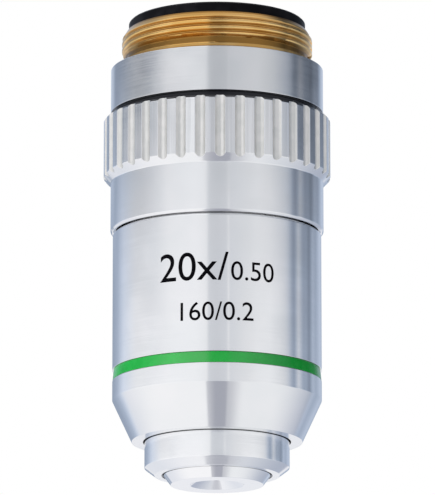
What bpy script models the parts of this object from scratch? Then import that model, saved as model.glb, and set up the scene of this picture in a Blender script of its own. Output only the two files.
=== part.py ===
"""Microscope objective for a 160 mm tube: the standard 20.32 mm thread, a fluted grip, and a sprung nose.

Sizes are in millimetres and become metres as each mesh is made. The optical axis is Z. Z = 0 is the
shoulder that seats on the revolving nosepiece: the thread stands above it and the front lens is lowest.
"""

import math

import bmesh
import bpy
from mathutils import Matrix, Vector

METRES = 0.001

# Mounting thread and collar. The thread is a standard size, and every diameter is worked out from it.
THREAD_DIAMETER = 20.2
THREAD_LENGTH = 4.15
THREAD_CHAMFER_WIDTH = 0.5
THREAD_CHAMFER_HEIGHT = 0.8
THREAD_LAND_STEP = 0.08
THREAD_LAND_HEIGHT = 0.75
THREAD_RELIEF_DEPTH = 0.5
THREAD_RELIEF_HEIGHT = 0.5
SHOULDER_UNDERCUT_DEPTH = 0.25
SHOULDER_UNDERCUT_MARGIN = 0.1
THREAD_WALL = 0.7
COLLAR_HEIGHT = 4.7
NECK_STEP = 0.5
NECK_SEAT = 1.0
EDGE_BREAK = 0.2

# Fluted grip and its skirt
GRIP_GAP = 0.7
GRIP_RISE = 0.75
GRIP_HEIGHT = 6.95
GRIP_TOP_BEVEL = 0.25
SKIRT_STEP = 0.25
SKIRT_HEIGHT = 5.3
FLUTE_COUNT = 36
FLUTE_WIDTH = 1.05
FLUTE_DEPTH = 0.35
FLUTE_PHASE_DEG = -88.4

# Engraved barrel with its colour band and cone
BARREL_GAP = 0.1
BARREL_HEIGHT = 17.85
BARREL_WALL_AT_THREAD = 0.95
BARREL_WALL = 1.45
CONE_HEIGHT = 4.4
CONE_MOUTH_LAND = 1.5
CONE_MOUTH_WALL = 1.23
BAND_ABOVE_CONE = 2.0
BAND_WIDTH = 1.2
BAND_DEPTH = 0.2

# Sprung nose
NOSE_EXPOSURE = 3.55
NOSE_BEVEL_WIDTH = 1.05
NOSE_BEVEL_HEIGHT = 0.8
NOSE_SLEEVE_HEIGHT = 7.3
NOSE_WALL = 0.68
NOSE_FLOOR = 1.2
NOSE_SEAT = 0.38
NOSE_TRAVEL = 2.5

# Front cell and its lens, whose flat face looks out of a shallow cone
FRONT_EXPOSURE = 1.0
FRONT_FLANGE = 0.55
FRONT_TAPER = 0.75
FRONT_CONE_DIAMETER = 5.7
FRONT_CONE_DEPTH = 0.8
FRONT_HOLE_DIAMETER = 3.4
FRONT_HOLE_LAND = 0.12
FRONT_LENS_DIAMETER = 5.2
FRONT_LENS_RADII = (-60.0, -3.2)
FRONT_LENS_THICKNESS = 2.6
FRONT_CELL_REAR_MOUTH = 7.6
FRONT_CELL_MOUTH_DEPTH = 1.1

# Body tube, which the outer sleeves screw on and the lens barrel slides in
TUBE_WALL = 1.1
TUBE_IN_BARREL = 7.35
GUIDE_BORE_HEIGHT = 4.0
SHIM_THICKNESS = 0.4

# Rear ring, which holds the spring in
REAR_LIP_HEIGHT = 1.13
REAR_LIP_STEP = 0.525
REAR_RING_DEPTH = 2.6
REAR_RING_WALL = 1.25
REAR_SLOT_REACH = 1.1
SPANNER_SLOT_WIDTH = 1.2
SPANNER_SLOT_DEPTH = 0.6

# Lens barrel
SPRING_SPACE = 1.65
FLANGE_HEIGHT = 4.6
HUB_HEIGHT = 2.5
LENS_BARREL_WALL = 0.67
LENS_BARREL_LIP = 0.8

# Spring
WIRE_DIAMETER = 0.7
SPRING_ACTIVE_TURNS = 6
SPRING_CLOSED_TURNS = 1
SPRING_POINTS_A_TURN = 14

# Guide screw and its slot
GUIDE_SCREW_DIAMETER = 2.0
GUIDE_DOG_DIAMETER = 1.4
GUIDE_DOG_REACH = 1.15
GUIDE_SLOT_DEPTH = 1.3
DRIVER_SLOT_WIDTH = 0.35
DRIVER_SLOT_DEPTH = 0.35

# Glass groups behind the front lens, from the front: rim diameter, surface radii and thicknesses.
# A surface radius is positive where the rim lies above the vertex.
SECOND_RIM = 8.0
SECOND_RADII = (-14.0, -7.0)
SECOND_THICKNESSES = [2.0]
DOUBLET_A_RIM = 8.4
DOUBLET_A_RADII = (18.0, -7.2, -20.0)
DOUBLET_A_THICKNESSES = [2.8, 1.2]
DOUBLET_B_RIM = 8.0
DOUBLET_B_RADII = (14.0, -9.0, -30.0)
DOUBLET_B_THICKNESSES = [2.4, 1.2]
REAR_RIM = 8.4
REAR_RADII = (-6.5, 12.0, -9.5)
REAR_THICKNESSES = [1.2, 2.6]

# Cells, spacers and rings of the stack
CELL_LEDGE_WIDTH = 0.4
CELL_LEDGE_HEIGHT = 0.5
CELL_LIP_WIDTH = 0.15
CELL_LIP_HEIGHT = 0.25
CELL_MOUTH_FLARE = 0.5
VERTEX_MARGIN = 0.15
SPACER_HEIGHT = 1.5
SPACER_WALL = 0.95
STOP_THICKNESS = 0.4
STOP_HOLE_DIAMETER = 6.4
LOCK_RING_HEIGHT = 1.2
LOCK_RING_WALL = 1.55
LOCK_RING_RECESS = 0.3

# Clearances, each on one side
SCREWED_CLEARANCE = 0.05
SLIDING_CLEARANCE = 0.05
NOSE_CLEARANCE = 0.12
SEAT_GAP = 0.02
CEMENT_GAP = 0.01
CUT_THROUGH = 1.0

# Facets round a turned piece
OUTER_FACETS = 40
INNER_FACETS = 30
GRIP_FACETS = 2 * FLUTE_COUNT
SCREW_FACETS = 16
FLUTE_CUTTER_FACETS = 12
LENS_RINGS = 2

# Radii of the fixed pieces, worked out outwards from the thread's wall
thread_radius = THREAD_DIAMETER / 2
relief_radius = thread_radius - THREAD_RELIEF_DEPTH
spring_bore = relief_radius - THREAD_WALL
tube_radius = spring_bore + TUBE_WALL
neck_radius = tube_radius + NECK_STEP
sleeve_bore = tube_radius + SCREWED_CLEARANCE
barrel_radius = sleeve_bore + BARREL_WALL_AT_THREAD
collar_radius = barrel_radius + SKIRT_STEP
grip_radius = collar_radius + GRIP_RISE
band_floor = barrel_radius - BAND_DEPTH

# Radii of the sliding pieces, worked out inwards from the spring's bore
flange_radius = spring_bore - SLIDING_CLEARANCE
stem_radius = spring_bore - SPRING_SPACE
guide_bore = stem_radius + SLIDING_CLEARANCE
nose_thread = stem_radius - NOSE_SEAT
nose_bore = nose_thread + SCREWED_CLEARANCE
nose_radius = nose_bore + NOSE_WALL
cell_bore = nose_thread - LENS_BARREL_WALL
cell_radius = cell_bore - SLIDING_CLEARANCE
front_cell_radius = cell_radius - FRONT_FLANGE

# Heights of the outer pieces, worked out downwards from the shoulder
collar_bottom = -COLLAR_HEIGHT
grip_top = collar_bottom - GRIP_GAP
neck_bottom = grip_top - NECK_SEAT
grip_bottom = grip_top - GRIP_HEIGHT
skirt_bottom = grip_bottom - SKIRT_HEIGHT
barrel_top = skirt_bottom - BARREL_GAP
cone_top = barrel_top - BARREL_HEIGHT
cone_bottom = cone_top - CONE_HEIGHT
nose_face = cone_bottom - NOSE_EXPOSURE
front_face = nose_face - FRONT_EXPOSURE
band_bottom = cone_top + BAND_ABOVE_CONE
band_top = band_bottom + BAND_WIDTH

# Heights inside
tube_bottom = barrel_top - TUBE_IN_BARREL
guide_ledge = tube_bottom + GUIDE_BORE_HEIGHT
shim_top = guide_ledge + SEAT_GAP + SHIM_THICKNESS
flange_bottom = shim_top + SEAT_GAP
flange_top = flange_bottom + FLANGE_HEIGHT
hub_top = flange_top + HUB_HEIGHT
nose_sleeve_top = nose_face + NOSE_SLEEVE_HEIGHT
lens_barrel_bottom = nose_face + NOSE_FLOOR + SEAT_GAP
stack_seat = lens_barrel_bottom + LENS_BARREL_LIP
lock_ring_top = hub_top - LOCK_RING_RECESS
rear_ring_bottom = THREAD_LENGTH - REAR_RING_DEPTH
guide_screw_height = flange_bottom + (FLANGE_HEIGHT + NOSE_TRAVEL) / 2


def clear_scene():
    for obj in list(bpy.data.objects):
        bpy.data.objects.remove(obj)


def make_material(name, colour, metallic, roughness, transmission=0.0):
    material = bpy.data.materials.new(name)
    material.use_nodes = True
    material.diffuse_color = (*colour, 1.0)
    shader = material.node_tree.nodes["Principled BSDF"]
    shader.inputs["Base Color"].default_value = (*colour, 1.0)
    shader.inputs["Metallic"].default_value = metallic
    shader.inputs["Roughness"].default_value = roughness
    shader.inputs["Transmission Weight"].default_value = transmission
    return material


def frame(name):
    """An empty on the optical axis, which carries the pieces of one body."""
    empty = bpy.data.objects.new(name, None)
    bpy.context.scene.collection.objects.link(empty)
    return empty


def add_object(name, mesh, material, parent):
    obj = bpy.data.objects.new(name, mesh)
    obj.data.materials.append(material)
    obj.parent = parent
    bpy.context.scene.collection.objects.link(obj)
    return obj


def turned(name, profile, facets, material, parent, start_deg=0.0):
    """A piece turned about Z from (radius, height) points. A profile that starts on the axis ends on it.
    The object's origin is on the axis at the profile's lowest point."""
    base = min(z for _, z in profile)
    bm = bmesh.new()
    turn = Matrix.Rotation(math.radians(start_deg), 3, "Z")
    points = [bm.verts.new(turn @ Vector((r, 0, z - base)) * METRES) for r, z in profile]
    ends = list(zip(points, points[1:]))
    if profile[0][0] > 0:
        ends.append((points[-1], points[0]))
    edges = [bm.edges.new(pair) for pair in ends]
    bmesh.ops.spin(bm, geom=points + edges, axis=(0, 0, 1), cent=(0, 0, 0),
                   angle=2 * math.pi, steps=facets, use_merge=True)
    bmesh.ops.remove_doubles(bm, verts=bm.verts, dist=1e-7)
    bmesh.ops.recalc_face_normals(bm, faces=bm.faces)
    mesh = bpy.data.meshes.new(name)
    bm.to_mesh(mesh)
    bm.free()
    mesh.shade_smooth()
    mesh.set_sharp_from_angle(angle=math.radians(30))
    obj = add_object(name, mesh, material, parent)
    obj.location.z = base * METRES
    return obj


def cut(obj, name, build):
    """Cuts from obj the closed shapes that build adds to an empty bmesh, in obj's own space and in mm."""
    bm = bmesh.new()
    build(bm)
    bmesh.ops.scale(bm, vec=Vector((METRES,) * 3), verts=bm.verts)
    bmesh.ops.recalc_face_normals(bm, faces=bm.faces)
    mesh = bpy.data.meshes.new(name)
    bm.to_mesh(mesh)
    bm.free()
    cutter = add_object(name, mesh, obj.data.materials[0], obj)
    cutter.hide_render = True
    cutter.display_type = "WIRE"
    modifier = obj.modifiers.new(name, "BOOLEAN")
    modifier.operation = "DIFFERENCE"
    modifier.object = cutter
    return cutter


def add_bar(bm, size, centre):
    """A box of that (x, y, z) size."""
    stretch = Matrix.Diagonal((*size, 1.0))
    bmesh.ops.create_cube(bm, size=1.0, matrix=Matrix.Translation(centre) @ stretch)


def add_rod(bm, radius, length, centre, facets, turn=Matrix.Identity(4)):
    """A round rod along Z, or along where turn takes Z."""
    bmesh.ops.create_cone(bm, cap_ends=True, segments=facets, radius1=radius, radius2=radius, depth=length,
                          matrix=Matrix.Translation(centre) @ turn)


def sag(curve_radius, r):
    """Height of a spherical surface over its vertex, r away from the axis."""
    return curve_radius - math.copysign(math.sqrt(curve_radius**2 - r**2), curve_radius)


def surface(vertex, curve_radius, rim):
    """Points of a lens surface from the axis out to the rim."""
    steps = [rim * i / LENS_RINGS for i in range(LENS_RINGS + 1)]
    return [(r, vertex + sag(curve_radius, r)) for r in steps]


def lens(name, vertex, thickness, radii, rim, material, parent):
    """One glass element, with its front vertex at that height."""
    front = surface(vertex, radii[0], rim)
    rear = surface(vertex + thickness, radii[1], rim)
    return turned(name, front + rear[::-1], INNER_FACETS, material, parent)


def ring_profile(inner, outer, bottom, top):
    return [(inner, bottom), (outer, bottom), (outer, top), (inner, top)]


def spanner_slots(obj, height, span):
    """Two slots in a ring's top face, for a pin spanner."""
    size = (span, SPANNER_SLOT_WIDTH, 2 * SPANNER_SLOT_DEPTH)
    cut(obj, obj.name + "_spanner_slots", lambda bm: add_bar(bm, size, (0, 0, height)))


def build_mount_body(material, thread_material, parent):
    """Thread, shoulder, collar and body tube, turned from one brass bar and plated below the thread.
    The thread runs out in a groove over a narrow land, and the shoulder is undercut round the land."""
    land_radius = thread_radius - THREAD_LAND_STEP
    relief_top = THREAD_LAND_HEIGHT + THREAD_RELIEF_HEIGHT
    profile = [
        (spring_bore, THREAD_LENGTH),
        (spring_bore, guide_ledge),
        (guide_bore, guide_ledge),
        (guide_bore, tube_bottom),
        (tube_radius - EDGE_BREAK, tube_bottom),
        (tube_radius, tube_bottom + EDGE_BREAK),
        (tube_radius, neck_bottom),
        (neck_radius, neck_bottom),
        (neck_radius, collar_bottom),
        (collar_radius - EDGE_BREAK, collar_bottom),
        (collar_radius, collar_bottom + EDGE_BREAK),
        (collar_radius, -EDGE_BREAK),
        (collar_radius - EDGE_BREAK, 0),
        (thread_radius + SHOULDER_UNDERCUT_MARGIN, 0),
        (land_radius, -SHOULDER_UNDERCUT_DEPTH),
        (land_radius, THREAD_LAND_HEIGHT),
        (relief_radius, THREAD_LAND_HEIGHT),
        (relief_radius, relief_top),
        (thread_radius, relief_top + THREAD_RELIEF_DEPTH / 2),
        (thread_radius, THREAD_LENGTH - THREAD_CHAMFER_HEIGHT),
        (thread_radius - THREAD_CHAMFER_WIDTH, THREAD_LENGTH),
    ]
    body = turned("mount_body", profile, OUTER_FACETS, material, parent)
    body.data.materials.append(thread_material)
    shoulder = -body.location.z
    for face in body.data.polygons:
        above = face.center.z > shoulder + SEAT_GAP * METRES
        if above and face.center.xy.length > spring_bore * METRES:
            face.material_index = 1
    screw_bore = GUIDE_SCREW_DIAMETER / 2 + SCREWED_CLEARANCE
    wall_centre = (0, (tube_radius + spring_bore) / 2, guide_screw_height - tube_bottom)
    length = tube_radius - spring_bore + 2 * CUT_THROUGH
    along_y = Matrix.Rotation(math.radians(90), 4, "X")
    cut(body, "guide_screw_hole",
        lambda bm: add_rod(bm, screw_bore, length, wall_centre, SCREW_FACETS, along_y))
    return body


def build_grip_sleeve(material, parent):
    """Fluted grip ring and plain skirt in one piece, screwed over the body tube up to the neck."""
    neck_bore = neck_radius + SCREWED_CLEARANCE
    neck_ledge = neck_bottom - SEAT_GAP
    profile = [
        (neck_bore, grip_top),
        (neck_bore, neck_ledge),
        (sleeve_bore, neck_ledge),
        (sleeve_bore, skirt_bottom),
        (collar_radius - EDGE_BREAK, skirt_bottom),
        (collar_radius, skirt_bottom + EDGE_BREAK),
        (collar_radius, grip_bottom),
        (grip_radius, grip_bottom + GRIP_RISE),
        (grip_radius, grip_top - GRIP_TOP_BEVEL),
        (grip_radius - GRIP_TOP_BEVEL, grip_top),
    ]
    sleeve = turned("grip_sleeve", profile, GRIP_FACETS, material, parent, FLUTE_PHASE_DEG)
    half_width = FLUTE_WIDTH / 2
    flute_radius = (half_width**2 + FLUTE_DEPTH**2) / (2 * FLUTE_DEPTH)
    cutter_ring = grip_radius - FLUTE_DEPTH + flute_radius
    length = GRIP_HEIGHT + 2 * CUT_THROUGH
    middle = (grip_top + grip_bottom) / 2 - skirt_bottom

    def flutes(bm):
        for i in range(FLUTE_COUNT):
            turn = Matrix.Rotation(math.radians(FLUTE_PHASE_DEG + 360 * i / FLUTE_COUNT), 4, "Z")
            add_rod(bm, flute_radius, length, turn @ Vector((cutter_ring, 0, middle)),
                    FLUTE_CUTTER_FACETS, turn)

    cut(sleeve, "flutes", flutes)
    return sleeve


def build_engraved_barrel(material, parent):
    """Lower cover that carries the engraving and the colour band, with the cone down to the nose."""
    cavity = barrel_radius - BARREL_WALL
    mouth = nose_radius + NOSE_CLEARANCE
    thread_end = tube_bottom - EDGE_BREAK
    profile = [
        (sleeve_bore, barrel_top),
        (sleeve_bore, thread_end),
        (cavity, thread_end),
        (cavity, cone_top),
        (mouth, cone_bottom + CONE_MOUTH_LAND),
        (mouth, cone_bottom),
        (mouth + CONE_MOUTH_WALL, cone_bottom),
        (barrel_radius, cone_top),
        (barrel_radius, band_bottom),
        (band_floor, band_bottom),
        (band_floor, band_top),
        (barrel_radius, band_top),
        (barrel_radius, barrel_top - EDGE_BREAK),
        (barrel_radius - EDGE_BREAK, barrel_top),
    ]
    return turned("engraved_barrel", profile, OUTER_FACETS, material, parent)


def build_colour_band(material, parent):
    """Enamel that fills the groove and gives the magnification by its colour."""
    profile = ring_profile(band_floor + SEAT_GAP, barrel_radius - SEAT_GAP,
                           band_bottom + SEAT_GAP, band_top - SEAT_GAP)
    return turned("colour_band", profile, OUTER_FACETS, material, parent)


def build_rear_ring(material, parent):
    """Black ring screwed into the top of the bore. Its lip sits on the end of the thread."""
    body = spring_bore - SCREWED_CLEARANCE
    lip = body + REAR_LIP_STEP
    bore = body - REAR_RING_WALL
    seat = THREAD_LENGTH + SEAT_GAP
    top = seat + REAR_LIP_HEIGHT
    profile = [
        (bore, rear_ring_bottom),
        (body, rear_ring_bottom),
        (body, seat),
        (lip, seat),
        (lip, top - EDGE_BREAK),
        (lip - EDGE_BREAK, top),
        (bore + EDGE_BREAK, top),
        (bore, top - EDGE_BREAK),
    ]
    ring = turned("rear_ring", profile, OUTER_FACETS, material, parent)
    spanner_slots(ring, top - rear_ring_bottom, 2 * (bore + REAR_SLOT_REACH))
    return ring


def build_parfocal_shim(material, parent):
    """Washer under the flange, picked at assembly to bring the lenses to the right distance."""
    profile = ring_profile(guide_bore, flange_radius, guide_ledge + SEAT_GAP, shim_top)
    return turned("parfocal_shim", profile, INNER_FACETS, material, parent)


def build_guide_screw(material, parent):
    """Dog-point screw in the tube wall, whose tip keeps the lens barrel from turning."""
    dog = GUIDE_DOG_DIAMETER / 2
    thread = GUIDE_SCREW_DIAMETER / 2
    head = tube_radius - spring_bore - SEAT_GAP
    tip = -GUIDE_DOG_REACH
    profile = [(0, tip), (dog, tip), (dog, 0), (thread, 0), (thread, head), (0, head)]
    screw = turned("guide_screw", profile, SCREW_FACETS, material, parent)
    slot_size = (2 * GUIDE_SCREW_DIAMETER, DRIVER_SLOT_WIDTH, 2 * DRIVER_SLOT_DEPTH)
    slot_height = GUIDE_DOG_REACH + head
    cut(screw, "driver_slot", lambda bm: add_bar(bm, slot_size, (0, 0, slot_height)))
    screw.rotation_euler.x = math.radians(-90)
    screw.location = Vector((0, spring_bore - GUIDE_DOG_REACH, guide_screw_height)) * METRES
    return screw


def build_spring(material, parent):
    """Compression spring between the rear ring and the flange, with one closed turn at each end."""
    coil_radius = (spring_bore + stem_radius) / 2
    low = flange_top + SEAT_GAP + WIRE_DIAMETER / 2
    high = rear_ring_bottom - SEAT_GAP - WIRE_DIAMETER / 2
    closed_rise = WIRE_DIAMETER + SEAT_GAP
    active_rise = high - low - 2 * SPRING_CLOSED_TURNS * closed_rise
    turns = SPRING_ACTIVE_TURNS + 2 * SPRING_CLOSED_TURNS
    count = turns * SPRING_POINTS_A_TURN
    curve = bpy.data.curves.new("spring", "CURVE")
    curve.dimensions = "3D"
    curve.bevel_depth = WIRE_DIAMETER / 2 * METRES
    curve.bevel_resolution = 1
    curve.use_fill_caps = True
    spline = curve.splines.new("POLY")
    spline.points.add(count)
    for i, point in enumerate(spline.points):
        turn = i / SPRING_POINTS_A_TURN
        active = min(max(turn - SPRING_CLOSED_TURNS, 0), SPRING_ACTIVE_TURNS)
        closed = turn - active
        angle = 2 * math.pi * turn
        z = low + active / SPRING_ACTIVE_TURNS * active_rise + closed * closed_rise
        place = Vector((coil_radius * math.cos(angle), coil_radius * math.sin(angle), z)) * METRES
        point.co = (*place, 1.0)
    return add_object("spring", curve, material, parent)


def build_lens_barrel(material, parent):
    """Sliding barrel that holds the stack of cells. The spring keeps its flange down on the shim."""
    lip = front_cell_radius + 2 * SLIDING_CLEARANCE
    thread_top = nose_sleeve_top + SEAT_GAP
    profile = [
        (lip, lens_barrel_bottom),
        (nose_thread, lens_barrel_bottom),
        (nose_thread, thread_top),
        (stem_radius, thread_top),
        (stem_radius, flange_bottom),
        (flange_radius, flange_bottom),
        (flange_radius, flange_top),
        (stem_radius, flange_top),
        (stem_radius, hub_top - EDGE_BREAK),
        (stem_radius - EDGE_BREAK, hub_top),
        (cell_bore, hub_top),
        (cell_bore, stack_seat),
        (lip, stack_seat),
    ]
    barrel = turned("lens_barrel", profile, INNER_FACETS, material, parent)
    slot_width = GUIDE_DOG_DIAMETER + 2 * SLIDING_CLEARANCE
    slot_size = (slot_width, 2 * GUIDE_SLOT_DEPTH, FLANGE_HEIGHT + CUT_THROUGH)
    slot_centre = (0, flange_radius, flange_bottom + FLANGE_HEIGHT / 2 - lens_barrel_bottom)
    cut(barrel, "guide_slot", lambda bm: add_bar(bm, slot_size, slot_centre))
    return barrel


def build_nose_sleeve(material, parent):
    """Bevelled cup screwed on the end of the lens barrel."""
    hole = front_cell_radius + SCREWED_CLEARANCE
    floor = nose_face + NOSE_FLOOR
    profile = [
        (hole, nose_face),
        (nose_radius - NOSE_BEVEL_WIDTH, nose_face),
        (nose_radius, nose_face + NOSE_BEVEL_HEIGHT),
        (nose_radius, nose_sleeve_top - EDGE_BREAK),
        (nose_radius - EDGE_BREAK, nose_sleeve_top),
        (nose_bore, nose_sleeve_top),
        (nose_bore, floor),
        (hole, floor),
    ]
    return turned("nose_sleeve", profile, OUTER_FACETS, material, parent)


def build_front_group(cell_material, glass, parent):
    """Front cell with the thick front lens cemented in from behind. Returns the height of the cell's top."""
    rim = FRONT_LENS_DIAMETER / 2
    hole = FRONT_HOLE_DIAMETER / 2
    bore = rim + SEAT_GAP
    hole_bottom = front_face + FRONT_CONE_DEPTH
    hole_top = hole_bottom + FRONT_HOLE_LAND
    vertex = hole_top + SEAT_GAP - sag(FRONT_LENS_RADII[0], rim)
    rear_vertex = vertex + FRONT_LENS_THICKNESS
    top = max(rear_vertex + VERTEX_MARGIN, stack_seat + LENS_BARREL_LIP)
    flange_seat = stack_seat + SEAT_GAP
    profile = [
        (hole, hole_bottom),
        (FRONT_CONE_DIAMETER / 2, front_face),
        (front_cell_radius - FRONT_TAPER, front_face),
        (front_cell_radius, front_face + FRONT_EXPOSURE),
        (front_cell_radius, flange_seat),
        (cell_radius, flange_seat),
        (cell_radius, top),
        (FRONT_CELL_REAR_MOUTH / 2, top),
        (bore, top - FRONT_CELL_MOUTH_DEPTH),
        (bore, hole_top),
        (hole, hole_top),
    ]
    turned("front_cell", profile, OUTER_FACETS, cell_material, parent)
    lens("front_lens", vertex, FRONT_LENS_THICKNESS, FRONT_LENS_RADII, rim, glass, parent)
    return top


def cell_heights(rim_diameter, radii, thicknesses):
    """Heights over a cell's base: front ledge, front vertex of the glass, the lip rolled over it, and top."""
    rim = rim_diameter / 2
    front_contact = min(sag(radii[0], rim - CELL_LEDGE_WIDTH), sag(radii[0], rim))
    vertex = max(CELL_LEDGE_HEIGHT + SEAT_GAP - front_contact, VERTEX_MARGIN)
    ledge = vertex + front_contact - SEAT_GAP
    rear_vertex = vertex + sum(thicknesses) + CEMENT_GAP * (len(thicknesses) - 1)
    lip = rear_vertex + max(sag(radii[-1], rim - CELL_LIP_WIDTH), sag(radii[-1], rim)) + SEAT_GAP
    top = max(lip + CELL_LIP_HEIGHT, rear_vertex + VERTEX_MARGIN) + CELL_LIP_HEIGHT
    return ledge, vertex, lip, top


def build_cell(name, group, base, cell_material, glasses, parent):
    """A turned cell on base with its element, or its cemented pair. Returns the height of the cell's top."""
    rim_diameter, radii, thicknesses = group
    rim = rim_diameter / 2
    ledge, vertex, lip, top = (base + height for height in cell_heights(*group))
    for i, thickness in enumerate(thicknesses):
        element = name if len(thicknesses) == 1 else f"{name}_{'front' if i == 0 else 'rear'}"
        lens(element, vertex, thickness, radii[i:i + 2], rim, glasses[i], parent)
        vertex += thickness + CEMENT_GAP
    bore = rim + SEAT_GAP
    ledge_radius = rim - CELL_LEDGE_WIDTH
    lip_radius = rim - CELL_LIP_WIDTH
    profile = [
        (ledge_radius, base),
        (cell_radius, base),
        (cell_radius, top),
        (lip_radius + CELL_MOUTH_FLARE, top),
        (lip_radius, lip + CELL_LIP_HEIGHT),
        (lip_radius, lip),
        (bore, lip),
        (bore, ledge),
        (ledge_radius, ledge),
    ]
    turned(name + "_cell", profile, INNER_FACETS, cell_material, parent)
    return top


def build_spacer(name, bore, base, height, material, parent):
    """A plain ring between two cells. Returns the height of its top."""
    turned(name, ring_profile(bore, cell_radius, base, base + height), INNER_FACETS, material, parent)
    return base + height


def build_stack(materials, parent):
    """Cells, spacers and stop from the front cell up to the ring that locks them."""
    crown, flint = materials["crown_glass"], materials["flint_glass"]
    brass, black = materials["brass"], materials["black"]
    second = (SECOND_RIM, SECOND_RADII, SECOND_THICKNESSES)
    doublet_a = (DOUBLET_A_RIM, DOUBLET_A_RADII, DOUBLET_A_THICKNESSES)
    doublet_b = (DOUBLET_B_RIM, DOUBLET_B_RADII, DOUBLET_B_THICKNESSES)
    rear = (REAR_RIM, REAR_RADII, REAR_THICKNESSES)
    spacer_bore = cell_radius - SPACER_WALL
    lock_ring_base = lock_ring_top - LOCK_RING_HEIGHT
    rear_base = lock_ring_base - SEAT_GAP - cell_heights(*rear)[-1]
    top = build_front_group(materials["satin_chrome"], crown, parent)
    top = build_cell("second_lens", second, top + SEAT_GAP, brass, [crown], parent)
    top = build_cell("doublet_a", doublet_a, top + SEAT_GAP, brass, [crown, flint], parent)
    top = build_spacer("spacer_ring", spacer_bore, top + SEAT_GAP, SPACER_HEIGHT, black, parent)
    top = build_cell("doublet_b", doublet_b, top + SEAT_GAP, brass, [crown, flint], parent)
    stop_bore = STOP_HOLE_DIAMETER / 2
    top = build_spacer("aperture_stop", stop_bore, top + SEAT_GAP, STOP_THICKNESS, black, parent)
    tube_base = top + SEAT_GAP
    build_spacer("spacer_tube", spacer_bore, tube_base, rear_base - SEAT_GAP - tube_base, black, parent)
    build_cell("rear_lens", rear, rear_base, brass, [flint, crown], parent)
    lock_profile = ring_profile(cell_radius - LOCK_RING_WALL, cell_radius, lock_ring_base, lock_ring_top)
    lock_ring = turned("lock_ring", lock_profile, INNER_FACETS, black, parent)
    spanner_slots(lock_ring, LOCK_RING_HEIGHT, 2 * (cell_radius + CUT_THROUGH))


def build_materials():
    return {
        "chrome": make_material("chrome", (0.78, 0.77, 0.75), 1.0, 0.16),
        "satin_chrome": make_material("satin_chrome", (0.66, 0.64, 0.6), 1.0, 0.34),
        "brass": make_material("brass", (0.76, 0.56, 0.26), 1.0, 0.28),
        "black": make_material("black", (0.02, 0.02, 0.022), 0.0, 0.5),
        "green_enamel": make_material("green_enamel", (0.05, 0.42, 0.12), 0.0, 0.25),
        "spring_steel": make_material("spring_steel", (0.5, 0.5, 0.52), 1.0, 0.3),
        "crown_glass": make_material("crown_glass", (0.93, 0.96, 0.95), 0.0, 0.02, 1.0),
        "flint_glass": make_material("flint_glass", (0.96, 0.94, 0.88), 0.0, 0.02, 1.0),
    }


def main():
    clear_scene()
    materials = build_materials()
    barrel = frame("barrel")
    nose = frame("nose")
    nose.parent = barrel
    build_mount_body(materials["chrome"], materials["brass"], barrel)
    build_grip_sleeve(materials["chrome"], barrel)
    build_engraved_barrel(materials["chrome"], barrel)
    build_colour_band(materials["green_enamel"], barrel)
    build_rear_ring(materials["black"], barrel)
    build_parfocal_shim(materials["brass"], barrel)
    build_guide_screw(materials["spring_steel"], barrel)
    build_spring(materials["spring_steel"], barrel)
    build_lens_barrel(materials["brass"], nose)
    build_nose_sleeve(materials["satin_chrome"], nose)
    build_stack(materials, nose)


main()
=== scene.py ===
import math

import bmesh
import bpy
import numpy as np
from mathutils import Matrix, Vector


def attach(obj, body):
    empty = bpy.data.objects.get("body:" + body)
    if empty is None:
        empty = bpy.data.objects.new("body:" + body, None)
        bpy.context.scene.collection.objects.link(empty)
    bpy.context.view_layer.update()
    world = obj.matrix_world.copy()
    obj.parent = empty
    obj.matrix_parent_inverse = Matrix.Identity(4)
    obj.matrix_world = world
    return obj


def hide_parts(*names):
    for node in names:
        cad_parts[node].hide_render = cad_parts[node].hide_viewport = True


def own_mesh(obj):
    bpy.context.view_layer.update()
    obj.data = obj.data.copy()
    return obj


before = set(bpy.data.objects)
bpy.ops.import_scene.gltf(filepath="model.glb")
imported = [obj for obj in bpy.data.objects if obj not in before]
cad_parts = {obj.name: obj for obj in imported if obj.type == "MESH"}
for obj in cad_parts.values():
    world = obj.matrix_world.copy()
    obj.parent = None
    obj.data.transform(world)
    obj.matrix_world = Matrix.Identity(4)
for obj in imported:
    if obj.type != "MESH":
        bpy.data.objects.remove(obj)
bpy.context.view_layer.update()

# Mount body. One brass bar is turned to the mounting thread, the collar and the tube that carries the rest.
# It is chromium plated below the shoulder, and the neck under the collar is black.
MM = 0.001
AROUND = 192
thread_core = 9.6
thread_top = 4.15
collar_radius = 11.25
collar_bottom = -4.7
neck_radius = 10.5
neck_bottom = -6.4
tube_radius = 10.0
tube_bottom = -25.1
spring_bore = 8.9
guide_bore = 7.3
guide_ledge = -21.1
undercut_radius = 10.2
undercut_depth = 0.25
edge = 0.2
fine_edge = 0.05
corner_ease = 0.05
paint_margin = 0.01
marks_spacing = 0.00008
patch_range = (0.35, 0.65)
brass_tones = ((0.76, 0.46, 0.15), (0.92, 0.61, 0.25))
collar_tones = ((0.78, 0.79, 0.80), (0.82, 0.82, 0.83))
black_tone = (0.032, 0.033, 0.037)


def eased(outline, ease=corner_ease):
    """A closed turned outline of (radius, height) points with its corners rounded as by a fine stone."""
    most_of_a_side = 0.3
    guard = 1.4
    points = []
    for i, corner in enumerate(outline):
        corner = Vector(corner)
        back = Vector(outline[i - 1]) - corner
        on = Vector(outline[(i + 1) % len(outline)]) - corner
        reach = min(ease, most_of_a_side * back.length, most_of_a_side * on.length)
        start = corner + back.normalized() * reach
        end = corner + on.normalized() * reach
        points.append(corner + back.normalized() * reach * guard)
        for t in (0, 0.25, 0.5, 0.75, 1):
            points.append(start * (1 - t) ** 2 + corner * 2 * t * (1 - t) + end * t ** 2)
        points.append(corner + on.normalized() * reach * guard)
    return points


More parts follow.
